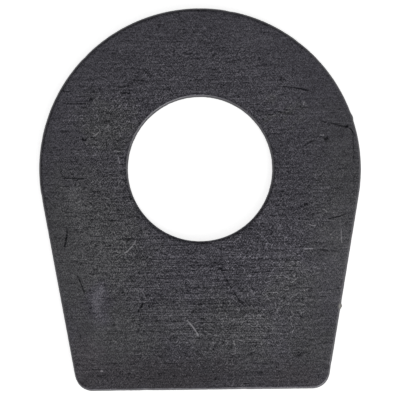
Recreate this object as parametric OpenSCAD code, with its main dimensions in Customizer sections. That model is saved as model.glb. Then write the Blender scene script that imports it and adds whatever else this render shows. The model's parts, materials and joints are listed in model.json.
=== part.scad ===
// Clutch washer: one flat plate blanked from steel strip, with a round top, a round bore
// in line with it, sides that lean in, and a straight base with rounded corners.
// The origin is the middle of the bore, half way through the plate. The round top points
// to +Y, the base to -Y, and the face with the larger edge rounding is up.

/* [Outline] */
// Diameter of the round top, which is the plate's full width
top_d = 31.75; // [26:0.05:48]
// Distance from the bore's axis to the straight base
base_drop = 21.75; // [16:0.05:30]
// Angle by which each side leans in towards the base
side_lean = 10; // [2:0.5:16]
// Radius of the two lower corners
corner_r = 1.75; // [0.6:0.05:5]

/* [Bore] */
// Diameter of the bore
bore_d = 14.25; // [6:0.05:20]

/* [Section] */
// Thickness of the strip that the plate is blanked from
plate_t = 1.2; // [0.8:0.05:3]
// Rounding where the upper face rolls over into the outer edge and the bore
roll_r = 0.25; // [0.1:0.01:0.4]
// Rounding left by tumbling round the lower face
tumble_r = 0.15; // [0.05:0.01:0.35]

/* [Hidden] */
plate_colour = "#414145";
// Facets in a full turn, for the preview
$fn = 120;

top_r = top_d / 2;
bore_r = bore_d / 2;
upper_z = plate_t / 2;
lower_z = -plate_t / 2;
// How far the bore's cutter stands out of each face
cut_over = 1;

// Middle of a corner's arc, one corner radius inside the side and the base
corner_y = corner_r - base_drop;
corner_x = (top_r - corner_r + corner_y * sin(side_lean)) / cos(side_lean);
// Length of a side, from where it leaves the round top to where the corner starts
side_l = -corner_x * sin(side_lean) - corner_y * cos(side_lean);
// Turn from one side to the other round the top
top_turn = 180 + 2 * side_lean;
// How far two stretches run into each other where they only fill the plate
lap = 0.5;
// Reach of the base's stretch over the corners' middles, past where the two sides' meet
base_reach = corner_x * tan(side_lean) + lap;

// What a rounding of radius r takes off an outer corner at the origin
module corner_waste(r) {
    difference() {
        translate([-r, -r]) square(2 * r);
        translate([-r, -r]) circle(r);
    }
}

// Section of the plate, from a line inside it at x = inner out to its edge at x = edge
module edge_section(inner, edge) {
    difference() {
        translate([inner, lower_z]) square([edge - inner, plate_t]);
        translate([edge, upper_z]) corner_waste(roll_r);
        translate([edge, lower_z]) mirror([0, 1]) corner_waste(tumble_r);
    }
}

// Straight stretch of plate that runs to -Y for length l, between x = inner and its edge
module straight_stretch(inner, edge, l) {
    rotate([90, 0, 0]) linear_extrude(l) edge_section(inner, edge);
}

// Round stretch of plate about the origin, through the angle turn from +X
module round_stretch(edge, turn) {
    rotate_extrude(angle = turn) edge_section(0, edge);
}

// Right side, right corner and half of the base. Each is set out from the end of the one
// before, so that the edge runs on without a step.
module half_tail() {
    rotate([0, 0, -side_lean]) {
        straight_stretch(0, top_r, side_l);
        translate([top_r - corner_r, -side_l, 0]) {
            round_stretch(corner_r, 360);
            rotate([0, 0, side_lean - 90]) straight_stretch(-base_reach, corner_r, corner_x + lap);
        }
    }
}

module blank() {
    rotate([0, 0, -side_lean]) round_stretch(top_r, top_turn);
    half_tail();
    mirror([1, 0, 0]) half_tail();
}

// Half section of what the bore takes out, flared at both faces by their roundings
module bore_section() {
    translate([0, lower_z - cut_over]) square([bore_r, plate_t + 2 * cut_over]);
    difference() {
        translate([bore_r, upper_z - roll_r]) square([roll_r, roll_r + cut_over]);
        translate([bore_r + roll_r, upper_z - roll_r]) circle(roll_r);
    }
    difference() {
        translate([bore_r, lower_z - cut_over]) square([tumble_r, tumble_r + cut_over]);
        translate([bore_r + tumble_r, lower_z + tumble_r]) circle(tumble_r);
    }
}

module clutch_washer() {
    color(plate_colour)
    difference() {
        blank();
        rotate_extrude() bore_section();
    }
}

clutch_washer();
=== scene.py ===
import json
import math

import bmesh
import bpy
from mathutils import Matrix, Vector, kdtree, noise


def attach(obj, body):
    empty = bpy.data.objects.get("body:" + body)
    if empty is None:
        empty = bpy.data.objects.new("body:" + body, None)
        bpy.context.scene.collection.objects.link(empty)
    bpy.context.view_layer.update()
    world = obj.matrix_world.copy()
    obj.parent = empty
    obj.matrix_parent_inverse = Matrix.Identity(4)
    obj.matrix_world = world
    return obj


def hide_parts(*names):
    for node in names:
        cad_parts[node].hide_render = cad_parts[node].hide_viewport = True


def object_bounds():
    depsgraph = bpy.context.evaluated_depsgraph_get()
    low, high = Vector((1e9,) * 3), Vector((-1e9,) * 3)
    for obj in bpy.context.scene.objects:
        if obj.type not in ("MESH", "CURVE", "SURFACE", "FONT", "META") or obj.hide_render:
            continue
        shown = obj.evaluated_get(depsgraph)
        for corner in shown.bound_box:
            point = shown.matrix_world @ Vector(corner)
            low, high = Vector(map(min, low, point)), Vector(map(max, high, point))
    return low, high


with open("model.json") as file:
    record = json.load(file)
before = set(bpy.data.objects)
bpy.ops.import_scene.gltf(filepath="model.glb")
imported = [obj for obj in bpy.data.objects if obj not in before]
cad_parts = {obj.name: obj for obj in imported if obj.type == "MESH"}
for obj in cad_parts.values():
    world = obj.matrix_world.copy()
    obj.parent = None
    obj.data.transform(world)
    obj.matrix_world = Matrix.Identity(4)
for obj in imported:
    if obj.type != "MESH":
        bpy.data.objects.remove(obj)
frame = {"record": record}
cadLow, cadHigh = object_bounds()
mm = 0.001
boreMount = next(m for m in frame["record"]["mounts"] if m["name"] == "bore")
print("frame loaded")

# The plate
# Width, drop, thickness and bore are the frame's. What is here is the rest of the form.
plateShape = {
    "topRadius": cadHigh.x,
    "boreRadius": boreMount["dims"]["r_mm"] * mm,
    "baseDrop": -cadLow.y,
    "upperZ": cadHigh.z,
    "lowerZ": cadLow.z,
    "sideLean": math.radians(10),
    "cornerRadius": 1.75 * mm,
    "upperRoll": 0.25 * mm,       # rounding where the upper face rolls into the edges
    "lowerRoll": 0.15 * mm,
    "rollSteps": 7,
    "wallSteps": 8,
    "topSteps": 140,              # half of the round top
    "sideSteps": 92,
    "cornerSteps": 20,
    "baseSteps": 56,              # half of the base
    "upperRings": 64,             # rows of faces between bore and outline
    "lowerRings": 32,
    "weld": 0.001 * mm,           # points closer than this are one
    "wallMargin": 0.01 * mm,      # how far past its ends a face of the wall may reach
}

# What use has done to the plate, in mm. Depths are measured along the surface's own normal.
plateWear = {
    "faceWave": 0.006, "faceWaveSize": 3.2,        # faint hollows in the rolled face
    "rimWaste": 0.022, "rimWasteSize": 0.45,       # uneven loss along the tumbled rim
    "rimWasteLayers": (0.8, 2.1, 3),               # loss of strength, gain in fineness, number
    "rimWasteSpared": 0.6,                         # share of that loss that a level spot is spared
    "rimReach": 0.45,                              # how far in from an edge the rim's wear goes
    "fractureDepth": 0.022, "fractureSize": 0.30,  # torn lower part of the sheared wall
    "fractureTop": -0.08,                          # height at which the wall turns from cut to torn
    "fractureBlend": 0.08,                         # height over which it turns
    "uprightBelow": 0.02,                          # Z of the normal under which a spot is on a wall
    "pastBore": 1.2,                               # bore radii from the axis, past the bore's wall
    "dentEnd": 2.5,                                # radii from its middle at which a dent ends
    # place (x, y), radius and depth of dents, a minus depth being a nub of burr
    "dents": [
        ((13.75, -13.68), 0.19, -0.17), ((15.12, 5.0), 0.24, -0.09),
        ((12.46, 2.77), 0.28, 0.035), ((10.4, -3.6), 0.26, 0.030), ((5.8, -20.0), 0.24, 0.030),
        ((-10.3, -12.0), 0.55, 0.014), ((-9.9, -13.2), 0.60, 0.014), ((-13.2, -6.7), 0.30, 0.020),
        ((12.45, -19.4), 0.26, 0.060), ((12.2, -20.3), 0.20, 0.050), ((-12.0, -20.6), 0.45, 0.050),
        ((7.1, 3.1), 0.22, 0.030), ((-6.9, 2.4), 0.20, 0.030), ((-15.6, -2.6), 0.30, 0.040),
        ((-11.2, 11.2), 0.30, 0.035), ((3.1, 15.6), 0.28, 0.035), ((4.0, -21.7), 0.30, 0.040),
        ((-5.6, -21.7), 0.35, 0.035), ((15.0, -8.6), 0.26, 0.045), ((9.8, 12.4), 0.22, 0.035),
    ],
}


def carry(bm, chain, turn=0.0, centre=(0, 0, 0), shift=(0, 0, 0), steps=1, axis=(0, 0, 1)):
    # sweeps a chain of vertices round a centre or along a shift, and returns its last place
    swept = bmesh.ops.spin(
        bm, geom=chain, cent=centre, axis=axis, dvec=Vector(shift) / steps, angle=turn,
        steps=steps, use_merge=False, use_duplicate=False)
    return swept["geom_last"]


def edgeSection(bm, edge, outward):
    # section of an edge at the plate's top middle. outward is 1 on the outline, -1 in the bore
    s = plateShape
    known = set(bm.verts)
    upperCentre = (0, edge - outward * s["upperRoll"], s["upperZ"] - s["upperRoll"])
    lowerCentre = (0, edge - outward * s["lowerRoll"], s["lowerZ"] + s["lowerRoll"])
    chain = [bm.verts.new((0, upperCentre[1], s["upperZ"]))]
    quarter = {"turn": -outward * math.pi / 2, "axis": (1, 0, 0), "steps": s["rollSteps"]}
    chain = carry(bm, chain, centre=upperCentre, **quarter)
    chain = carry(bm, chain, shift=(0, 0, lowerCentre[2] - upperCentre[2]), steps=s["wallSteps"])
    carry(bm, chain, centre=lowerCentre, **quarter)
    made = [v for v in bm.verts if v not in known]
    return made + list({e for v in made for e in v.link_edges})


def cornerCentre():
    # middle of the right corner's arc
    s = plateShape
    y = s["cornerRadius"] - s["baseDrop"]
    x = s["topRadius"] - s["cornerRadius"] + y * math.sin(s["sideLean"])
    return Vector((x / math.cos(s["sideLean"]), y, 0))


def rightHalf(bm):
    # rims of the right half, from the top middle to the middle of the base
    s = plateShape
    lean = s["sideLean"]
    corner = cornerCentre()
    sideOut = Vector((math.cos(lean), -math.sin(lean), 0))
    sideRun = Vector((-math.sin(lean), -math.cos(lean), 0))
    sideStart = s["topRadius"] * sideOut
    sideEnd = corner + s["cornerRadius"] * sideOut
    cornerEnd = corner - Vector((0, s["cornerRadius"], 0))
    chain = edgeSection(bm, s["topRadius"], 1)
    chain = carry(bm, chain, -(math.pi / 2 + lean), steps=s["topSteps"])
    chain = carry(bm, chain, shift=sideRun * (sideEnd - sideStart).length, steps=s["sideSteps"])
    chain = carry(bm, chain, -(math.pi / 2 - lean), corner, steps=s["cornerSteps"])
    carry(bm, chain, shift=(-corner.x, 0, 0), steps=s["baseSteps"])
    # the bore's rim turns through the same sectors in as many steps, so that the rows run straight
    chain = edgeSection(bm, s["boreRadius"], -1)
    bearing = math.pi / 2
    for stop, steps in (
            (sideStart, s["topSteps"]), (sideEnd, s["sideSteps"]),
            (cornerEnd, s["cornerSteps"]), (Vector((0, -1, 0)), s["baseSteps"])):
        stopBearing = math.atan2(stop.y, stop.x)
        chain = carry(bm, chain, stopBearing - bearing, steps=steps)
        bearing = stopBearing


def plateBlank():
    s = plateShape
    bm = bmesh.new()
    rightHalf(bm)
    everything = bm.verts[:] + bm.edges[:] + bm.faces[:]
    bmesh.ops.mirror(bm, geom=everything, matrix=Matrix(), merge_dist=s["weld"], axis="X")
    bmesh.ops.remove_doubles(bm, verts=bm.verts[:], dist=s["weld"])
    for z, rings in ((s["upperZ"], s["upperRings"]), (s["lowerZ"], s["lowerRings"])):
        rims = [e for e in bm.edges
                if e.is_boundary and all(abs(v.co.z - z) < s["weld"] for v in e.verts)]
        joined = bmesh.ops.bridge_loops(bm, edges=rims)
        bmesh.ops.subdivide_edges(bm, edges=joined["edges"], cuts=rings - 1, use_grid_fill=True)
    bmesh.ops.recalc_face_normals(bm, faces=bm.faces[:])
    return bm


def fade(value, full, none):
    # 1 at full, 0 at none, smooth between
    t = min(max((value - none) / (full - none), 0), 1)
    return t * t * (3 - 2 * t)


def noiseShare(place):
    # noise from 0 to 1
    return 0.5 + 0.5 * noise.noise(place)


def outlineFinder(bm):
    # finds the nearest point of the outline, seen from above
    s, w = plateShape, plateWear
    wall = [v for v in bm.verts if abs(v.normal.z) < w["uprightBelow"]
            and v.co.xy.length > s["boreRadius"] * w["pastBore"]]
    outline = kdtree.KDTree(len(wall))
    for number, v in enumerate(wall):
        outline.insert((v.co.x, v.co.y, 0), number)
    outline.balance()
    return outline


def wearPlate(bm):
    s, w = plateShape, plateWear
    bm.normal_update()
    outlineLayer = bm.verts.layers.float.new("outlineGap")   # mm to the outline, for the finish
    rimLayer = bm.verts.layers.float.new("rimGap")           # mm to the nearer rim
    outline = outlineFinder(bm)
    tornTop = w["fractureTop"]
    moves = []
    for v in bm.verts:
        place = v.co / mm
        outer = outline.find((v.co.x, v.co.y, 0))[2] / mm
        inner = (v.co.xy.length - s["boreRadius"]) / mm
        v[outlineLayer] = outer
        v[rimLayer] = max(min(outer, inner), 0)
        rim = fade(v[rimLayer], 0, w["rimReach"])
        level = abs(v.normal.z)      # 1 on a face, 0 on a wall
        depth = w["faceWave"] * noiseShare(place / w["faceWaveSize"]) * level
        crumble = noise.fractal(place / w["rimWasteSize"], *w["rimWasteLayers"])
        depth += w["rimWaste"] * rim * max(crumble, 0) * (1 - w["rimWasteSpared"] * level)
        torn = fade(place.z, tornTop - w["fractureBlend"], tornTop) * (1 - level)
        depth += w["fractureDepth"] * torn * noiseShare(place / w["fractureSize"])
        if place.z > 0:
            for (x, y), radius, deep in w["dents"]:
                far = math.hypot(place.x - x, place.y - y) / radius
                if far < w["dentEnd"]:
                    # a nub stands out of the edge alone
                    depth += deep * math.exp(-far * far) * (1 if deep > 0 else 1 - level)
        moves.append((v, -v.normal * depth * mm))
    for v, move in moves:
        v.co += move


def finished(bm, name):
    # the object made from a bmesh
    mesh = bpy.data.meshes.new(name)
    bm.to_mesh(mesh)
    bm.free()
    made = bpy.data.objects.new(name, mesh)
    bpy.context.collection.objects.link(made)
    return made


def makePlate():
    s = plateShape
    bm = plateBlank()
    wearPlate(bm)
    wallTop = s["upperZ"] - s["upperRoll"] + s["wallMargin"]
    wallFoot = s["lowerZ"] + s["lowerRoll"] - s["wallMargin"]
    for face in bm.faces:
        face.smooth = True
        heights = [v.co.z for v in face.verts]
        onWall = max(heights) < wallTop and min(heights) > wallFoot
        face.material_index = 1 if onWall else 0
    print("plate:", len(bm.verts), "vertices,", len(bm.faces), "faces, open edges:",
          sum(not e.is_manifold for e in bm.edges))
    return finished(bm, "clutchPlate")


# Node helpers
def newMaterial(name):
    material = bpy.data.materials.new(name)
    material.use_nodes = True
    return material, material.node_tree


def put(tree, kind, sockets=None, **settings):
    # adds a node, with sockets either set to a value or linked from another node's output
    node = tree.nodes.new(kind)
    for name, value in settings.items():
        setattr(node, name, value)
    for key, value in (sockets or {}).items():
        if isinstance(value, bpy.types.NodeSocket):
            tree.links.new(value, node.inputs[key])
        else:
            node.inputs[key].default_value = value
    return node


def sums(tree, operation, *values, clamp=False):
    # a Math node, or a row of them where more values are given than it takes
    takes = 3 if operation == "MULTIPLY_ADD" else 2
    node = put(tree, "ShaderNodeMath", dict(enumerate(values[:takes])), operation=operation,
               use_clamp=clamp)
    for value in values[takes:]:
        node = put(tree, "ShaderNodeMath", {0: node.outputs[0], 1: value}, operation=operation,
                   use_clamp=clamp)
    return node.outputs[0]


def vectors(tree, operation, *values):
    # a Vector Math node. A length and a dot product come out as a number.
    outputs = put(tree, "ShaderNodeVectorMath", dict(enumerate(values)),
                  operation=operation).outputs
    return outputs["Value" if operation in ("LENGTH", "DOT_PRODUCT") else "Vector"]


def scaled(tree, vector, factor):
    return put(tree, "ShaderNodeVectorMath", {0: vector, "Scale": factor},
               operation="SCALE").outputs["Vector"]


def parts(tree, vector):
    return put(tree, "ShaderNodeSeparateXYZ", {0: vector}).outputs


def ramped(tree, value, fromLow, fromHigh, toLow=0.0, toHigh=1.0, kind="SMOOTHSTEP"):
    # a smooth step ends by itself. A clamp there would only fill the renderer's stack.
    node = put(tree, "ShaderNodeMapRange", {
        "Value": value, "From Min": fromLow, "From Max": fromHigh, "To Min": toLow,
        "To Max": toHigh}, interpolation_type=kind, clamp=kind == "LINEAR")
    return node.outputs["Result"]


def mixed(tree, factor, first, second, blend="MIX", colours=False):
    # a Mix node's sockets share their names, so they are set by number
    a, b, result = (6, 7, 2) if colours else (2, 3, 0)
    node = put(tree, "ShaderNodeMix", {0: factor, a: first, b: second}, blend_type=blend,
               data_type="RGBA" if colours else "FLOAT")
    return node.outputs[result]


def noiseTexture(tree, vector, scale=1.0, detail=2.0, roughness=0.5):
    return put(tree, "ShaderNodeTexNoise", {
        "Vector": vector, "Scale": scale, "Detail": detail, "Roughness": roughness}).outputs


def noisy(tree, vector, *kind):
    # noise from -1 to 1, mostly within a half. Its kind is its scale, detail and roughness.
    return sums(tree, "MULTIPLY_ADD", noiseTexture(tree, vector, *kind)["Fac"], 2.0, -1.0)


def madeGroup(name, takes, gives):
    # empty node group with named sockets
    group = bpy.data.node_groups.new(name, "ShaderNodeTree")
    for label, (kind, value) in takes.items():
        socket = group.interface.new_socket(label, in_out="INPUT", socket_type="NodeSocket" + kind)
        socket.default_value = value
    for label, kind in gives.items():
        group.interface.new_socket(label, in_out="OUTPUT", socket_type="NodeSocket" + kind)
    return group, put(group, "NodeGroupInput").outputs, put(group, "NodeGroupOutput").inputs


def placed(tree, group, sockets):
    return put(tree, "ShaderNodeGroup", sockets, node_tree=group).outputs


# Shared surface effects
anyAngle = 6.28             # radians
placeSocket = ("Vector", (0, 0, 0))

# Where each mark and zone starts to show and where it is full, in shares of its own size
markFade = {
    "shortLength": (0.2, 0.5),                       # half lengths of short marks, from the least
    "shortEnds": (1.0, 0.6), "shortSides": (0.6, 0.2),
    "scratchEnds": (1.0, 0.5), "scratchSides": (0.75, 0.15),
    "zone": (1.0, 0.25),
}


def plateCoordsGroup():
    # place on the plate in mm. The underside reads another part of each pattern.
    tree, takes, gives = madeGroup("plateCoords", {"Under Shift": ("Vector", (47.0, 31.0, 0.0))},
                                   {"Vector": "Vector"})
    coords = put(tree, "ShaderNodeTexCoord").outputs
    inMm = scaled(tree, coords["Object"], 1 / mm)
    upper = sums(tree, "GREATER_THAN", parts(tree, coords["Normal"])["Z"], 0.0)
    shift = scaled(tree, takes["Under Shift"], sums(tree, "SUBTRACT", 1.0, upper))
    tree.links.new(vectors(tree, "ADD", inMm, shift), gives["Vector"])
    return tree


def rolledGrainGroup():
    # fine grain of rolled strip: leathery specks, and streaks drawn out along X
    tree, takes, gives = madeGroup("rolledGrain", {
        "Vector": placeSocket, "Speck": ("Float", 0.11), "Pitch": ("Float", 0.12),
        "Run": ("Float", 1.0)}, {"Specks": "Float", "Streaks": "Float"})
    perSpeck = sums(tree, "DIVIDE", 1.0, takes["Speck"])
    perPitch = sums(tree, "DIVIDE", 1.0, takes["Pitch"])
    perRun = sums(tree, "DIVIDE", 1.0, takes["Run"])
    stretch = put(tree, "ShaderNodeCombineXYZ", {"X": perRun, "Y": perPitch, "Z": perPitch})
    drawn = vectors(tree, "MULTIPLY", takes["Vector"], stretch.outputs[0])
    tree.links.new(noisy(tree, takes["Vector"], perSpeck, 1.0), gives["Specks"])
    tree.links.new(noisy(tree, drawn, 1.0, 1.0), gives["Streaks"])
    return tree


def shortMarksGroup():
    # one short straight mark at a random angle in each cell
    tree, takes, gives = madeGroup("shortMarks", {
        "Vector": placeSocket, "Cell": ("Vector", (1.0, 1.0, 1.0)), "Length": ("Float", 0.5),
        "Width": ("Float", 0.08), "Bend": ("Float", 0.0), "Spread": ("Float", anyAngle),
        "Share": ("Float", 0.5)}, {"Mask": "Float"})
    cells = vectors(tree, "DIVIDE", takes["Vector"], takes["Cell"])
    middle = put(tree, "ShaderNodeTexVoronoi", {"Vector": cells, "Scale": 1.0},
                 voronoi_dimensions="2D").outputs
    away = vectors(tree, "SUBTRACT", cells, middle["Position"])
    away = vectors(tree, "MULTIPLY", away, takes["Cell"])
    chance = put(tree, "ShaderNodeSeparateColor", {0: middle["Color"]}).outputs
    turn = sums(tree, "MULTIPLY", sums(tree, "SUBTRACT", chance["Red"], 0.5), takes["Spread"])
    turned = put(tree, "ShaderNodeVectorRotate", {"Vector": away, "Angle": turn},
                 rotation_type="Z_AXIS").outputs[0]
    along = parts(tree, turned)
    half = sums(tree, "MULTIPLY", takes["Length"],
                ramped(tree, chance["Green"], 0, 1, *markFade["shortLength"]))
    lengthwise = sums(tree, "DIVIDE", sums(tree, "ABSOLUTE", along["X"]), half)
    bow = sums(tree, "MULTIPLY", takes["Bend"], sums(tree, "MULTIPLY", lengthwise, lengthwise))
    across = sums(tree, "ABSOLUTE", sums(tree, "ADD", along["Y"], bow))
    crosswise = sums(tree, "DIVIDE", across, takes["Width"])
    shown = sums(tree, "LESS_THAN", chance["Blue"], takes["Share"])
    mask = sums(tree, "MULTIPLY", ramped(tree, lengthwise, *markFade["shortEnds"]),
                ramped(tree, crosswise, *markFade["shortSides"]), shown)
    tree.links.new(mask, gives["Mask"])
    return tree


def scratchGroup():
    # one scratch at a given place, bowed by Bend at its middle
    tree, takes, gives = madeGroup("scratch", {
        "Vector": placeSocket, "Place": placeSocket, "Turn": ("Float", 0.0),
        "Length": ("Float", 2.0), "Width": ("Float", 0.1), "Bend": ("Float", 0.0)},
        {"Mask": "Float"})
    turned = put(tree, "ShaderNodeVectorRotate", {
        "Vector": takes["Vector"], "Center": takes["Place"],
        "Angle": sums(tree, "MULTIPLY", takes["Turn"], -1.0)}, rotation_type="Z_AXIS").outputs[0]
    along = parts(tree, vectors(tree, "SUBTRACT", turned, takes["Place"]))
    share = sums(tree, "DIVIDE", along["X"], sums(tree, "MULTIPLY", takes["Length"], 0.5))
    squared = sums(tree, "MULTIPLY", share, share)
    bow = sums(tree, "MULTIPLY", takes["Bend"], sums(tree, "SUBTRACT", 1.0, squared))
    across = sums(tree, "ABSOLUTE", sums(tree, "SUBTRACT", along["Y"], bow))
    crosswise = sums(tree, "DIVIDE", across, takes["Width"])
    mask = sums(tree, "MULTIPLY", ramped(tree, crosswise, *markFade["scratchSides"]),
                ramped(tree, squared, *markFade["scratchEnds"]))
    tree.links.new(mask, gives["Mask"])
    return tree


def edgeWearGroup():
    # how far the surface turns over at a rim, broken up along it
    tree, takes, gives = madeGroup("edgeWear", {
        "Vector": placeSocket, "Start": ("Float", 0.01), "Full": ("Float", 0.1),
        "Patch": ("Float", 0.4), "Uneven": ("Float", 1.2)}, {"Mask": "Float"})
    normal = put(tree, "ShaderNodeTexCoord").outputs["Normal"]
    turned = sums(tree, "SUBTRACT", 1.0, sums(tree, "ABSOLUTE", parts(tree, normal)["Z"]))
    broken = noisy(tree, takes["Vector"], sums(tree, "DIVIDE", 1.0, takes["Patch"]), 2.0, 0.6)
    uneven = sums(tree, "MULTIPLY_ADD", broken, takes["Uneven"], 1.0)
    turned = sums(tree, "MULTIPLY", turned, uneven)
    tree.links.new(ramped(tree, turned, takes["Start"], takes["Full"]), gives["Mask"])
    return tree


def softZoneGroup():
    # 1 in the middle of an oval and 0 outside it
    tree, takes, gives = madeGroup("softZone", {
        "Vector": placeSocket, "Place": placeSocket, "Reach": ("Vector", (1, 1, 1))},
        {"Mask": "Float"})
    away = vectors(tree, "SUBTRACT", takes["Vector"], takes["Place"])
    far = vectors(tree, "LENGTH", vectors(tree, "DIVIDE", away, takes["Reach"]))
    tree.links.new(ramped(tree, far, *markFade["zone"]), gives["Mask"])
    return tree


# The finish of the faces
# Marks that can be told one by one: place of the middle, turn in degrees, length, width, bow, all
# in mm on the upper face, and how light (above 0) or dark (below 0) the mark is.
faceMarks = {
    "light hook left of the middle": ((-7.1, -7.6), 46, 2.1, 0.14, -0.22, 2.0),
    "light line low in the middle": ((-0.9, -15.7), -54, 2.1, 0.14, 0.10, 2.3),
    "its faint start": ((-1.1, -11.2), -48, 1.1, 0.09, 0.05, 0.8),
    "faint line right of the bore's foot": ((5.9, -6.6), -45, 2.9, 0.10, 0.04, 0.5),
    "faint line beside it": ((7.8, -5.7), 55, 1.4, 0.10, 0.0, 0.4),
    "upright line near the right side": ((13.85, -6.8), -88, 1.8, 0.10, 0.0, 0.8),
    "light smile at right": ((11.0, -5.6), -9, 0.9, 0.10, -0.10, 1.5),
    "light bracket at right": ((12.25, -4.3), -40, 0.55, 0.13, 0.10, 0.85),
    "light dash at right": ((10.6, -8.0), 0, 1.0, 0.11, 0.0, 2.0),
    "brushed band low right": ((7.65, -16.7), -42, 1.9, 0.20, 0.05, 0.2),
    "light tick low": ((3.15, -17.2), -76, 0.65, 0.12, 0.0, 1.15),
    "light arc beside it": ((3.9, -17.05), -17, 0.7, 0.10, 0.10, 0.6),
    "tick left of the bore": ((-7.85, 3.5), -62, 0.7, 0.10, 0.0, 1.15),
    "second tick left of the bore": ((-8.0, 1.0), -76, 0.9, 0.10, 0.0, 1.7),
    "light hook at upper left": ((-10.15, 3.65), 42, 1.0, 0.12, -0.08, 1.3),
    "its short leg": ((-10.5, 3.6), -22, 0.5, 0.10, 0.0, 1.0),
    "speck in the left corner": ((-9.9, -19.8), 20, 0.28, 0.18, 0.0, 2.0),
    "light dash at upper right": ((10.3, 6.35), 80, 0.40, 0.15, 0.0, 0.9),
    "light tick over the spot": ((12.05, 3.2), 0, 0.45, 0.12, 0.0, 1.6),
    "dark upright mark at left": ((-13.3, -6.75), 80, 1.8, 0.19, -0.05, -1.3),
    "dark stroke low left": ((-6.0, -13.6), 59, 1.2, 0.18, 0.0, -1.4),
    "dark line near the left side": ((-11.85, -11.3), -69, 2.2, 0.15, 0.05, -1.0),
    "dark smear over the light hook": ((-6.5, -6.9), -3, 2.6, 0.26, 0.0, -0.5),
    "curved line at upper right": ((9.63, 7.72), -10, 3.2, 0.13, 0.14, -0.95),
    "its dark end": ((10.5, 7.65), -15, 0.7, 0.20, 0.0, -0.95),
    "upright line above it": ((8.1, 8.8), 90, 0.7, 0.10, 0.0, -1.5),
    "line below it": ((8.15, 5.44), -10, 3.0, 0.16, 0.04, -0.5),
    "start of that line": ((5.95, 5.6), -7, 0.9, 0.20, 0.0, -0.6),
    "line to the right rim": ((13.25, 4.2), -15, 2.8, 0.16, 0.08, -0.7),
    "its dark end at the rim": ((14.45, 4.0), 10, 0.5, 0.26, 0.0, -1.3),
    "its turn": ((14.98, 3.47), -60, 1.0, 0.15, 0.08, -0.8),
    "its way down the rim": ((15.10, 1.80), -90, 2.9, 0.12, 0.04, -0.55),
    "dark smear beside the spot": ((10.7, 2.40), 29, 1.4, 0.20, 0.0, -0.45),
    "short dash at upper left": ((-5.95, 8.8), -3, 1.5, 0.18, 0.0, -0.8),
    "dash beside it": ((-7.4, 8.2), 4, 1.3, 0.16, 0.0, -0.8),
    "dash under that": ((-7.3, 7.55), -3, 1.1, 0.14, 0.0, -1.6),
    "slanted nick at the top": ((-5.15, 9.56), -46, 0.8, 0.13, 0.0, -0.8),
    "long dash at left": ((-12.15, 6.55), -1, 2.9, 0.13, 0.0, -0.85),
    "blot at its end": ((-10.75, 6.95), 16, 0.6, 0.28, 0.0, -1.0),
    "blot inside it": ((-9.1, 5.62), -21, 1.2, 0.24, 0.0, -0.4),
    "dash near the left rim": ((-13.2, 3.85), 1, 1.9, 0.13, 0.0, -0.25),
    "blot under it": ((-11.4, 3.0), 0, 0.55, 0.28, 0.0, -1.1),
    "dash left of the bore": ((-12.5, -0.81), -3, 2.4, 0.17, 0.0, -0.8),
    "long line under the bore": ((0.5, -9.5), 1, 4.2, 0.12, 0.0, -0.9),
    "ring under the bore": ((-1.1, -9.3), -4, 2.3, 0.10, 0.22, -0.5),
    "dotted line low in the middle": ((2.82, -11.5), -60, 4.2, 0.11, 0.0, -0.9),
    "its upper dot": ((1.85, -9.84), -8, 0.5, 0.22, 0.0, -1.5),
    "its lower dot": ((3.86, -13.14), -41, 0.5, 0.20, 0.0, -0.8),
    "nick in the middle": ((-0.15, -13.35), 0, 0.5, 0.18, 0.0, -2.0),
    "nick under it": ((0.0, -14.76), -8, 0.5, 0.15, 0.0, -1.2),
    "slanted nick beside it": ((-0.75, -13.98), 35, 0.9, 0.12, 0.0, -0.6),
    "dark spot at right": ((12.46, 2.85), 20, 0.52, 0.34, 0.0, -1.1),
    "dark spot under it": ((10.4, -3.62), 0, 0.45, 0.28, 0.0, -1.3),
    "line at right": ((12.5, -8.2), -3, 2.0, 0.15, 0.0, -0.5),
    "line over that": ((13.4, -4.8), 14, 2.1, 0.12, -0.10, -1.2),
    "dark spot near the base": ((5.7, -20.1), 0, 0.45, 0.26, 0.0, -0.7),
    "smear low right": ((9.5, -18.5), 18, 1.0, 0.28, 0.0, -0.5),
    "line over the smear": ((9.5, -18.2), 1, 2.1, 0.12, 0.0, -0.4),
    "line low right": ((11.2, -17.4), 7, 3.0, 0.10, 0.0, -0.4),
}

# Soft ovals on the upper face, in mm: place, reach in X and Y, and strength
# lighter and darker parts
paleZones = {
    "scuff at lower left": ((-10.1, -13.0), (0.8, 2.0), 0.14),
    "its trail": ((-10.2, -14.8), (1.3, 5.0), 0.05),
    "rubbed spot at left": ((-12.4, -2.4), (1.3, 2.4), 0.08),
    "rubbed left side": ((-11.5, -8.5), (4.5, 7.5), 0.035),
    "rubbed right side": ((13.6, -8.5), (2.8, 7.5), 0.06),
    "rubbed lower right": ((9.6, -12.2), (4.2, 4.0), 0.02),
    "dull under the bore's right": ((5.9, -7.0), (3.2, 2.4), -0.06),
    "dull left of the bore's foot": ((-6.6, -7.3), (2.4, 2.2), -0.04),
    "rubbed upper right": ((8.2, 6.8), (4.2, 4.4), 0.03),
    "stained right corner": ((9.6, -20.2), (4.2, 3.4), -0.045),
    "dull low in the middle": ((-1.5, -17.0), (6.5, 2.6), -0.03),
    "top right": ((5.5, 13.2), (3.5, 2.5), 0.04),
    "dull under the bore": ((-1.0, -11.5), (9.0, 6.5), -0.035),
    "dull right of the bore": ((8.5, 0.5), (3.5, 5.5), -0.03),
    "stained base": ((-2.5, -21.0), (13.5, 4.2), -0.09),
    "stain right of the bore": ((9.0, -3.4), (2.6, 3.4), -0.03),
}
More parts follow.
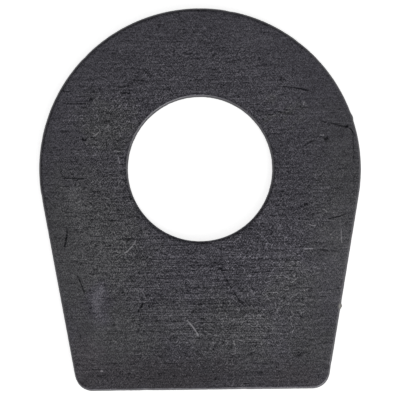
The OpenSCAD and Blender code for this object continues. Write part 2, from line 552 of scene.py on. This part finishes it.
# parts with a cast of colour, and one with less olive in it
oliveZones = {
    "lower left": ((-11.5, -7.5), (9.5, 12.5), 1.0),
    "right side": ((15.0, -4.5), (6.2, 16.0), 0.8),
    "upper left": ((-9.4, 4.6), (4.6, 4.2), 1.0),
    "low in the middle": ((3.0, -16.5), (7.0, 6.5), 0.85),
    "low at left": ((-8.5, -16.5), (7.0, 5.5), 1.0),
    "left of the low middle": ((-3.0, -14.8), (3.5, 4.0), 0.6),
    "lower right": ((9.6, -12.6), (4.6, 5.5), 0.8),
    "low at right": ((11.0, -17.5), (5.0, 5.0), 0.8),
    "along the line at upper right": ((8.0, 5.5), (3.4, 0.9), 0.8),
}
lilacZones = {
    "scuff at lower left": ((-10.1, -13.2), (1.8, 3.0), 1.2),
}
brownZones = {
    "base": ((-4.0, -20.6), (12.0, 3.0), 1.0),
    "left corner": ((-11.5, -19.5), (3.5, 3.5), 1.0),
    "right corner": ((8.8, -20.6), (4.5, 2.6), 1.0),
}
# where the grain is livelier or calmer
liveZones = {
    "left of the middle": ((-6.0, -8.5), (9.5, 6.5), 0.14),
    "calm upper right": ((12.5, 4.5), (6.0, 7.0), -0.22),
    "calm lower left": ((-9.5, -16.5), (5.0, 4.0), -0.22),
    "calm lower right": ((9.5, -18.0), (5.5, 4.5), -0.08),
    "calm near the base": ((-3.0, -18.5), (6.0, 3.5), -0.12),
    "left of the bore's foot": ((-8.0, -2.5), (4.5, 3.5), 0.12),
}
# where most of the small curled marks lie
curlZones = {
    "lower right": ((6.5, -11.5), (8.5, 8.0), 1.0),
    "upper left": ((-9.5, 5.5), (5.5, 5.0), 1.0),
    "low in the middle": ((-1.0, -17.5), (6.0, 4.5), 0.6),
}
# bare metal where a burr was rubbed
bareZones = {
    "burr on the right side": ((13.80, -13.68), (0.50, 0.45), 1.0),
}

# Metal and oxide, from the darkest grain to the lightest
faceTone = {
    "darkest": (0.008, 0.008, 0.009, 1),
    "dark": (0.0235, 0.0235, 0.0255, 1),
    "middle": (0.059, 0.058, 0.063, 1),
    "light": (0.096, 0.095, 0.101, 1),
    "lightest": (0.210, 0.206, 0.214, 1),
    "worn": (0.105, 0.103, 0.110, 1),
    "bare": (0.180, 0.176, 0.165, 1),
    "metallic": 1.0,
    "roughness": (0.44, 0.32),          # in dark grain and in light
    "grazing": (0.47, 0.47, 0.47, 1),   # oxide stays dark at a low angle
    "bump": (0.4, 0.02 * mm),           # strength and height of the grain's relief
    # casts of colour that the oxide has: violet as a rule, olive and brown in their zones
    "violet": (0.985, 0.964, 1.051, 1), "olive": (0.996, 1.004, 0.992, 1),
    "brown": (1.020, 0.975, 1.000, 1),
    "patchNoise": (1.3, 3.0, 0.7), "patches": 0.5,      # olive stands in patches
}

# Grain, in mm. A noise is given by its scale, detail and roughness.
faceGrain = {
    # how far the edges of pale zones and of casts stray
    "wanderNoise": (0.5, 4.0, 0.65), "wander": (2.5, 7.0),
    # slow change of the tone and of how strong the grain is
    "broadNoise": (0.35, 3.0, 0.6), "broadTone": 0.02, "broadGrain": (0.90, 1.08),
    "calmNearOutline": (0.3, 5.5),      # over which the grain grows from calm to full
    "calm": 0.68,
    "fine": {"Speck": 0.071, "Pitch": 0.080, "Run": 0.5},
    "coarse": {"Speck": 0.24, "Pitch": 0.095, "Run": 4.5},
    "specks": 0.96, "coarseSpecks": 0.14,
    # painted shade beside each speck: where it lies and how strong it is
    "speckShadeShift": (0, 0.2, 0), "speckShadeLevel": -0.12,
    "streaks": 0.08,
    "linedZone": ((0.5, -11.0), (13.0, 9.0)),           # place and reach of the clearest streaks
    "longStreaks": (0.225, 0.405),                      # outside that zone and in its middle
}

# Small marks left by handling, too many to tell one by one, in mm
smallMarks = {
    "dashes": {"Cell": (1.6, 0.5, 1.0), "Length": 1.1, "Width": 0.13, "Spread": 0.12,
               "Share": 0.30},
    "pits": {"Cell": (0.9, 0.9, 1.0), "Length": 0.45, "Width": 0.2, "Spread": anyAngle,
             "Share": 0.25},
    "ticks": (((0, 0, 0), 0.75, 0.16), ((17, 11, 0), 0.62, -0.13)),     # shift, cell and bow
    "tickWidth": 0.095,
    "tickShare": 0.14, "curlShare": 0.5,    # share of cells with a tick, and more in curl zones
    "tickLevel": (1.0, 1.7),                # how light ticks are outside curl zones and in them
    "blotLevel": 1.15,
}

# How the placed marks show, and how ragged they are along their length
markLook = {
    "strength": 2.5, "lightTone": 0.20, "darkTone": -0.20,
    "raggedNoise": (4.0, 2.0), "ragged": (-0.30, 0.20, 0.40, 1.0),
}

# Painted shade at the rims, in mm: where something starts and where it is full, and then how much
# there is of it
paintedRimShade = {
    "shadeLineTone": -0.17,                      # painted shade: a thin darker line inside each round rim
    "shadeLineOuter": (0.06, 0.15), "shadeLineInner": (0.45, 0.20),       # from the rim
    "shadeLineOnTop": (-7.0, -2.0),              # in Y, up to the round top
    "shadeLineInBore": (2.0, 3.0),               # from the outline
    "shadeLineAtBase": (-18.0, -21.0, 0.0, 0.55),        # in Y
    "shadeLineFromRight": (14.5, 6.0),           # in X, so that it fades towards the right rim
    "shadedBoreOnly": (4.0, 6.0), "shadedLowerBore": (0.0, -4.0, 0.0, 0.9),     # painted shade: the bore's lower rim gets little worn metal, so it stays dark
}


def toneRamp(tree, value):
    ramp = put(tree, "ShaderNodeValToRGB", {0: value})
    stops = ramp.color_ramp.elements
    tones = ((0.0, "darkest"), (0.3, "dark"), (0.5, "middle"), (0.7, "light"), (1.0, "lightest"))
    while len(stops) < len(tones):
        stops.new(0.5)
    for stop, (place, name) in zip(stops, tones):
        stop.position = place
        stop.color = faceTone[name]
    return ramp.outputs["Color"]


def ovalMask(tree, groups, at, place, reach):
    sockets = {"Vector": at, "Place": (*place, 0), "Reach": (*reach, 1)}
    return placed(tree, groups["softZone"], sockets)["Mask"]


def addedZones(tree, groups, at, zones):
    total = 0.0
    for place, reach, level in zones.values():
        zone = ovalMask(tree, groups, at, place, reach)
        total = sums(tree, "MULTIPLY_ADD", zone, level, total)
    return total


def strongestZone(tree, groups, at, zones):
    strongest = 0.0
    for place, reach, level in zones.values():
        zone = sums(tree, "MULTIPLY", ovalMask(tree, groups, at, place, reach), level)
        strongest = sums(tree, "MAXIMUM", zone, strongest)
    return strongest


def wanderingPlaces(tree, at):
    # zones read a wandering copy of the coordinates, so that no oval shows
    g = faceGrain
    wander = noiseTexture(tree, at, *g["wanderNoise"])["Color"]
    wander = vectors(tree, "SUBTRACT", wander, (0.5, 0.5, 0.5))
    flatAt = vectors(tree, "MULTIPLY", at, (1, 1, 0))
    firm, loose = (vectors(tree, "MULTIPLY_ADD", wander, (reach, reach, 0.0), flatAt)
                   for reach in g["wander"])
    return flatAt, firm, loose


def grainStrength(tree, outlineGap, broad, lively):
    g = faceGrain
    busy = ramped(tree, outlineGap, *g["calmNearOutline"], g["calm"], 1.0)
    busy = sums(tree, "MULTIPLY", busy, ramped(tree, broad, -0.5, 0.5, *g["broadGrain"]))
    return sums(tree, "MULTIPLY", busy, sums(tree, "ADD", lively, 1.0))


def grainTexture(tree, groups, at, loose, busy):
    g = faceGrain
    lined = ovalMask(tree, groups, loose, *g["linedZone"])
    fine = placed(tree, groups["grain"], {"Vector": at, **g["fine"]})
    coarse = placed(tree, groups["grain"], {"Vector": at, **g["coarse"]})
    lining = ramped(tree, lined, 0, 1, *g["longStreaks"])
    # painted shade: each speck has a fainter, opposite one beside it, as a raised spot has a shaded
    # side; it darkens the colour and also goes into the bump
    beside = {"Vector": vectors(tree, "ADD", at, g["speckShadeShift"]), "Speck": g["fine"]["Speck"]}
    beside = placed(tree, groups["grain"], beside)["Specks"]
    specks = sums(tree, "MULTIPLY_ADD", coarse["Specks"], g["coarseSpecks"], fine["Specks"])
    specks = sums(tree, "MULTIPLY_ADD", beside, g["speckShadeLevel"], specks)
    texture = sums(tree, "MULTIPLY", coarse["Streaks"], lining)
    texture = sums(tree, "MULTIPLY_ADD", fine["Streaks"], g["streaks"], texture)
    texture = sums(tree, "MULTIPLY_ADD", specks, g["specks"], texture)
    return sums(tree, "MULTIPLY", texture, busy)


def handlingMarks(tree, groups, at, curly, busy):
    # light ticks and dark blots
    m = smallMarks
    dashes = placed(tree, groups["shortMarks"], {"Vector": at, **m["dashes"]})["Mask"]
    share = sums(tree, "MULTIPLY_ADD", curly, m["curlShare"], m["tickShare"])
    ticks = 0.0
    for shift, cell, bow in m["ticks"]:
        tick = placed(tree, groups["shortMarks"], {
            "Vector": vectors(tree, "ADD", at, shift), "Cell": (cell, cell, 1.0),
            "Length": cell, "Width": m["tickWidth"], "Bend": bow, "Spread": anyAngle,
            "Share": share})["Mask"]
        ticks = sums(tree, "MAXIMUM", tick, ticks)
    pits = placed(tree, groups["shortMarks"], {"Vector": at, **m["pits"]})["Mask"]
    ticks = sums(tree, "MULTIPLY", ticks, busy, ramped(tree, curly, 0, 1, *m["tickLevel"]))
    blots = sums(tree, "MULTIPLY", sums(tree, "MAXIMUM", dashes, pits), busy)
    return ticks, blots


def lightAndDarkMarks(tree, groups, at, ticks, blots):
    look = markLook
    light = dark = 0.0
    for place, turn, length, width, bow, level in faceMarks.values():
        mark = placed(tree, groups["scratch"], {
            "Vector": at, "Place": (*place, 0), "Turn": math.radians(turn), "Length": length,
            "Width": width, "Bend": bow})["Mask"]
        mark = sums(tree, "MULTIPLY", mark, abs(level) * look["strength"])
        if level > 0:
            light = sums(tree, "MAXIMUM", light, mark)
        else:
            dark = sums(tree, "MAXIMUM", dark, mark)
    # no mark is even along its length
    ragged = ramped(tree, noisy(tree, at, *look["raggedNoise"]), *look["ragged"])
    light = sums(tree, "MAXIMUM", sums(tree, "MULTIPLY", light, ragged), ticks)
    dark = sums(tree, "MAXIMUM", sums(tree, "MULTIPLY", dark, ragged),
                sums(tree, "MULTIPLY", blots, smallMarks["blotLevel"]))
    return light, dark


def paintedRimShadeLine(tree, at, y, outlineGap, rimGap):
    # a line of painted shade that runs all round the bore, and fades down the sides and towards the
    # lit right side
    r = paintedRimShade
    share = sums(tree, "MAXIMUM", ramped(tree, y, *r["shadeLineOnTop"]),
                 ramped(tree, outlineGap, *r["shadeLineInBore"]), ramped(tree, y, *r["shadeLineAtBase"]))
    x = vectors(tree, "DOT_PRODUCT", at, (1, 0, 0))
    return sums(tree, "MULTIPLY", ramped(tree, rimGap, *r["shadeLineOuter"]),
                ramped(tree, rimGap, *r["shadeLineInner"]), share, ramped(tree, x, *r["shadeLineFromRight"]))


def castTint(tree, at, olive, brown, lilac):
    t = faceTone
    patchy = noisy(tree, at, *t["patchNoise"])
    olive = sums(tree, "MULTIPLY_ADD", patchy, t["patches"], sums(tree, "SUBTRACT", olive, lilac),
                 clamp=True)
    tint = mixed(tree, olive, t["violet"], t["olive"], colours=True)
    return mixed(tree, brown, tint, t["brown"], colours=True)


def wornAndShadedColour(tree, groups, at, flatAt, y, outlineGap, colour):
    # metal shows along the rims and where a burr was rubbed; on the bore's lower rim, the side away
    # from the light, it is mostly held back, which is painted shade
    t, r = faceTone, paintedRimShade
    wear = placed(tree, groups["edgeWear"], {"Vector": at})["Mask"]
    # painted shade on the bore's lower rim, the side away from the light
    shadedLowerRim = sums(tree, "MULTIPLY", ramped(tree, outlineGap, *r["shadedBoreOnly"]),
                ramped(tree, y, *r["shadedLowerBore"]))
    wear = sums(tree, "MULTIPLY", wear, sums(tree, "SUBTRACT", 1.0, shadedLowerRim))
    colour = mixed(tree, wear, colour, t["worn"], colours=True)
    for place, reach, level in bareZones.values():
        zone = sums(tree, "MULTIPLY", ovalMask(tree, groups, flatAt, place, reach), level)
        colour = mixed(tree, zone, colour, t["bare"], colours=True)
    return colour


def blackOxide(tree, colour, roughness, height, bump):
    # what both finishes end in
    strength, distance = bump
    relief = put(tree, "ShaderNodeBump", {
        "Height": height, "Strength": strength, "Distance": distance}).outputs["Normal"]
    shader = tree.nodes["Principled BSDF"].inputs
    tree.links.new(colour, shader["Base Color"])
    tree.links.new(roughness, shader["Roughness"])
    tree.links.new(relief, shader["Normal"])
    shader["Metallic"].default_value = faceTone["metallic"]
    shader["Specular Tint"].default_value = faceTone["grazing"]


def rolledFaceFinish(groups):
    t, g, look = faceTone, faceGrain, markLook
    material, tree = newMaterial("blackOxideFace")
    at = placed(tree, groups["coords"], {})["Vector"]
    outlineGap = put(tree, "ShaderNodeAttribute", attribute_name="outlineGap").outputs["Fac"]
    flatAt, firm, loose = wanderingPlaces(tree, at)
    pale, lively, curly, lilac = (addedZones(tree, groups, firm, zones)
                                  for zones in (paleZones, liveZones, curlZones, lilacZones))
    olive, brown = (strongestZone(tree, groups, loose, zones)
                    for zones in (oliveZones, brownZones))

    broad = noisy(tree, at, *g["broadNoise"])
    busy = grainStrength(tree, outlineGap, broad, lively)
    texture = grainTexture(tree, groups, at, loose, busy)
    ticks, blots = handlingMarks(tree, groups, at, curly, busy)
    grooves = sums(tree, "MAXIMUM", ticks, blots)
    light, dark = lightAndDarkMarks(tree, groups, at, ticks, blots)
    rimGap = put(tree, "ShaderNodeAttribute", attribute_name="rimGap").outputs["Fac"]
    y = vectors(tree, "DOT_PRODUCT", at, (0, 1, 0))
    # painted shade: a thin darker line inside the rims
    paintedShadeLine = paintedRimShadeLine(tree, at, y, outlineGap, rimGap)

    tone = sums(tree, "ADD", texture, pale)
    # the first layer darkens the tone with painted shade along the rims
    for layer, weight in ((paintedShadeLine, paintedRimShade["shadeLineTone"]), (broad, g["broadTone"]),
                          (light, look["lightTone"]), (dark, look["darkTone"])):
        tone = sums(tree, "MULTIPLY_ADD", layer, weight, tone)
    colour = toneRamp(tree, sums(tree, "ADD", tone, 0.5))
    tint = castTint(tree, at, olive, brown, lilac)
    colour = mixed(tree, 1.0, colour, tint, "MULTIPLY", colours=True)
    colour = wornAndShadedColour(tree, groups, at, flatAt, y, outlineGap, colour)
    roughness = ramped(tree, texture, -0.5, 0.5, *t["roughness"], "LINEAR")
    height = sums(tree, "SUBTRACT", texture, grooves)
    blackOxide(tree, colour, roughness, height, t["bump"])
    return material


# The finish of the wall, in mm: cut lines that stand upright, and torn grain under them
wallLook = {
    "lineStretch": (7.0, 7.0, 0.9), "lineNoise": (1.0, 3.0, 0.6), "tornNoise": (6.0, 3.0, 0.65),
    "tornFrom": (-0.02, -0.14), "tornStray": 0.06,      # height where it tears, and how uneven
    "contrast": 0.35, "tornDarker": 0.10,
    "roughness": (0.40, 0.62),                          # where it is cut and where it is torn
    "bump": (0.5, 0.03 * mm),
}


def shearedWallFinish(groups):
    w = wallLook
    material, tree = newMaterial("blackOxideShearedWall")
    at = placed(tree, groups["coords"], {})["Vector"]
    upright = put(tree, "ShaderNodeMapping", {"Vector": at, "Scale": w["lineStretch"]})
    lines = noisy(tree, upright.outputs[0], *w["lineNoise"])
    grain = noisy(tree, at, *w["tornNoise"])
    height = parts(tree, at)["Z"]
    stray = sums(tree, "MULTIPLY", lines, w["tornStray"])
    torn = ramped(tree, sums(tree, "ADD", height, stray), *w["tornFrom"])
    rough = mixed(tree, torn, lines, grain)
    tone = sums(tree, "MULTIPLY_ADD", rough, w["contrast"], 0.5)
    tone = sums(tree, "SUBTRACT", tone, sums(tree, "MULTIPLY", torn, w["tornDarker"]))
    colour = toneRamp(tree, tone)
    roughness = ramped(tree, torn, 0, 1, *w["roughness"])
    blackOxide(tree, colour, roughness, rough, w["bump"])
    return material


plate = makePlate()
groups = {
    "coords": plateCoordsGroup(), "grain": rolledGrainGroup(), "shortMarks": shortMarksGroup(),
    "scratch": scratchGroup(), "edgeWear": edgeWearGroup(), "softZone": softZoneGroup(),
}
plate.data.materials.append(rolledFaceFinish(groups))
plate.data.materials.append(shearedWallFinish(groups))
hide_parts("clutch_washer")
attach(plate, "root")
print("plate finished")

# Floor, backdrop and light
studio = {
    "floorRadius": 0.6, "floorSides": 96,
    "floorColour": (0.80, 0.80, 0.80, 1), "floorRoughness": 0.9, "floorGlow": 0.68,
    "white": (1, 1, 1, 1),
    "ambient": 0.50,                    # the room's own light, away from the key light
    "keyFrom": Vector((0.60, -0.95, 0.75)), "keyDistance": 0.40, "keySize": (0.36, 0.24),
    "keyRadiance": 2.0,
    # how bright metal sees the room: the far side, overhead and the near side
    "brightSide": Vector((0.36, -0.94, 0.35)),
    "farSide": 0.30, "overhead": 0.738, "nearSide": 2.2,
    "farEnd": -0.45, "nearEnd": 0.9,            # where the room stops getting darker or brighter
    # the pale backdrop all round, up to these heights, is dimmer on the far side too
    "sweepTop": (0.30, 0.70), "sweepFar": 0.70, "sweepNear": 1.12,
}


def makeFloor():
    s = studio
    bm = bmesh.new()
    bmesh.ops.create_circle(bm, cap_ends=True, radius=s["floorRadius"], segments=s["floorSides"])
    bmesh.ops.translate(bm, verts=bm.verts[:], vec=(0, 0, plateShape["lowerZ"]))
    floor = finished(bm, "whiteFloor")
    material, tree = newMaterial("whiteFloorPaint")
    shader = tree.nodes["Principled BSDF"].inputs
    shader["Base Color"].default_value = s["floorColour"]
    shader["Roughness"].default_value = s["floorRoughness"]
    shader["Specular IOR Level"].default_value = 0.0
    shader["Emission Color"].default_value = s["white"]
    seen = put(tree, "ShaderNodeLightPath").outputs
    direct = sums(tree, "ADD", seen["Is Camera Ray"], seen["Is Transmission Ray"])
    direct = sums(tree, "ADD", direct, seen["Is Glossy Ray"], clamp=True)
    tree.links.new(sums(tree, "MULTIPLY", direct, s["floorGlow"]), shader["Emission Strength"])
    floor.data.materials.append(material)


def makeLight():
    s = studio
    aim = s["keyFrom"].normalized()
    lamp = bpy.data.lights.new("softKey", "AREA")
    lamp.shape = "RECTANGLE"
    lamp.size, lamp.size_y = s["keySize"]
    lamp.energy = s["keyRadiance"] * math.pi * lamp.size * lamp.size_y
    key = bpy.data.objects.new("softKey", lamp)
    key.location = aim * s["keyDistance"]
    key.rotation_euler = aim.to_track_quat("Z", "Y").to_euler()
    bpy.context.collection.objects.link(key)


def makeRoom():
    s = studio
    world = bpy.data.worlds.new("paleRoom")
    world.use_nodes = True
    bpy.context.scene.world = world
    tree = world.node_tree
    tree.nodes.clear()
    seen = put(tree, "ShaderNodeLightPath").outputs
    outward = put(tree, "ShaderNodeTexCoord").outputs["Generated"]
    brightSide = s["brightSide"].normalized()
    facing = vectors(tree, "DOT_PRODUCT", outward, brightSide)
    overhead = brightSide.z
    farToTop = ramped(tree, facing, s["farEnd"], overhead, s["farSide"], s["overhead"], "LINEAR")
    topToNear = ramped(tree, facing, overhead, s["nearEnd"], 0.0, s["nearSide"] - s["overhead"],
                       "LINEAR")
    shine = sums(tree, "ADD", farToTop, topToNear)
    height = parts(tree, outward)["Z"]
    sweep = ramped(tree, facing, -s["nearEnd"], s["nearEnd"], s["sweepFar"], s["sweepNear"],
                   "LINEAR")
    shine = mixed(tree, ramped(tree, height, *s["sweepTop"]), sweep, shine)
    metal = mixed(tree, seen["Is Glossy Ray"], s["ambient"], shine)
    straight = sums(tree, "ADD", seen["Is Camera Ray"], seen["Is Transmission Ray"], clamp=True)
    strength = mixed(tree, straight, metal, 1.0)
    back = put(tree, "ShaderNodeBackground", {"Color": s["white"], "Strength": strength})
    put(tree, "ShaderNodeOutputWorld", {"Surface": back.outputs[0]})


makeFloor()
makeLight()
makeRoom()
print("studio ready")

# Camera
# The photograph looks straight down, from a touch towards the base, with the part turned a little.
photoView = {
    "frameWidth": 39.40 * mm,           # what the picture's width spans on the upper face
    "middle": Vector((-0.04, -3.07, 0)) * mm,
    "turn": math.radians(-0.65),
    "lean": math.radians(1.0),
    "lens": 200.0, "sensor": 36.0,
    "nearest": 0.01, "farthest": 10,
}


def makeCamera():
    v = photoView
    camera = bpy.data.cameras.new("photoCamera")
    camera.lens, camera.sensor_width = v["lens"], v["sensor"]
    camera.clip_start, camera.clip_end = v["nearest"], v["farthest"]
    holder = bpy.data.objects.new("photoCamera", camera)
    distance = v["frameWidth"] * v["lens"] / v["sensor"]
    turned = Matrix.Rotation(v["turn"], 4, "Z") @ Matrix.Rotation(v["lean"], 4, "X")
    middle = v["middle"] + Vector((0, 0, plateShape["upperZ"]))
    holder.matrix_world = Matrix.Translation(middle) @ turned @ Matrix.Translation(
        (0, 0, distance))
    bpy.context.collection.objects.link(holder)
    bpy.context.scene.camera = holder


makeCamera()
bpy.context.scene.view_settings.view_transform = "Standard"
print("camera set")
